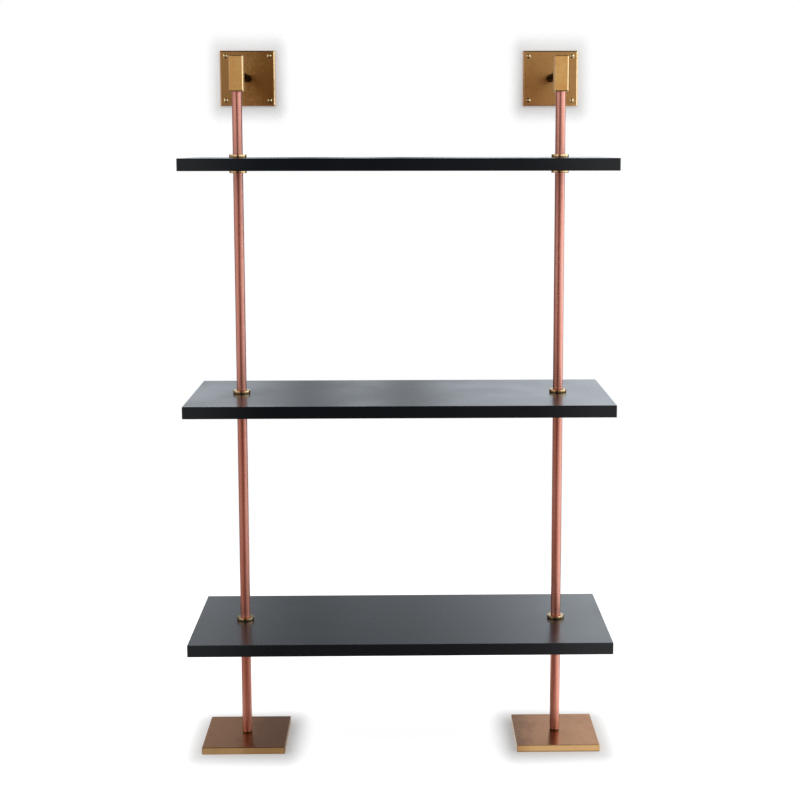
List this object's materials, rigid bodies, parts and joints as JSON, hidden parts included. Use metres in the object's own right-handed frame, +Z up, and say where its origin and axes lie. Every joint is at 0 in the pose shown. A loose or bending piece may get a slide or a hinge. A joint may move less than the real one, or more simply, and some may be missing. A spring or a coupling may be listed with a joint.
{
  "type": "three-tier shelf",
  "caption": "Tall open shelf: dark boards clamped by brass collars on copper rods, which stand on square feet and are held off the wall by stems and screwed plates.",
  "frame": {"origin": "on the floor, in the middle of the whole object's width and depth, screws in the wall included", "axes": "+Z up, +X to the right seen from the front, +Y towards the wall"},
  "size_m": [0.914, 0.456, 1.557],
  "materials": {
    "charcoal_lacquer": "satin lacquer",
    "copper": "satin copper, fine turned rings",
    "aged_brass": "satin, aged",
    "polished_brass": "polished",
    "screw_brass": "polished",
    "plain_brass": "as turned",
    "dark_bronze": "dark satin",
    "steel": "black oxide"
  },
  "bodies": {
    "root": {"shelf_bottom": "charcoal_lacquer", "shelf_middle": "charcoal_lacquer", "shelf_top": "charcoal_lacquer", "foot_plate_left": "aged_brass", "foot_ring_left": "polished_brass", "foot_screw_left": "steel", "rod_left": "copper", "rod_plug_lower_left": "plain_brass", "rod_plug_upper_left": "plain_brass", "collar_bottom_upper_left": "polished_brass", "collar_bottom_lower_left": "polished_brass", "collar_middle_upper_left": "polished_brass", "collar_middle_lower_left": "polished_brass", "collar_top_upper_left": "polished_brass", "collar_top_lower_left": "polished_brass", "set_screws_left": "steel", "rod_block_left": "aged_brass", "block_grub_screw_left": "steel", "wall_stem_left": "dark_bronze", "stem_screw_left": "steel", "wall_plate_left": "aged_brass", "wall_screws_left": "screw_brass", "foot_plate_right": "aged_brass", "foot_ring_right": "polished_brass", "foot_screw_right": "steel", "rod_right": "copper", "rod_plug_lower_right": "plain_brass", "rod_plug_upper_right": "plain_brass", "collar_bottom_upper_right": "polished_brass", "collar_bottom_lower_right": "polished_brass", "collar_middle_upper_right": "polished_brass", "collar_middle_lower_right": "polished_brass", "collar_top_upper_right": "polished_brass", "collar_top_lower_right": "polished_brass", "set_screws_right": "steel", "rod_block_right": "aged_brass", "block_grub_screw_right": "steel", "wall_stem_right": "dark_bronze", "stem_screw_right": "steel", "wall_plate_right": "aged_brass", "wall_screws_right": "screw_brass"}
  },
  "joints": []
}
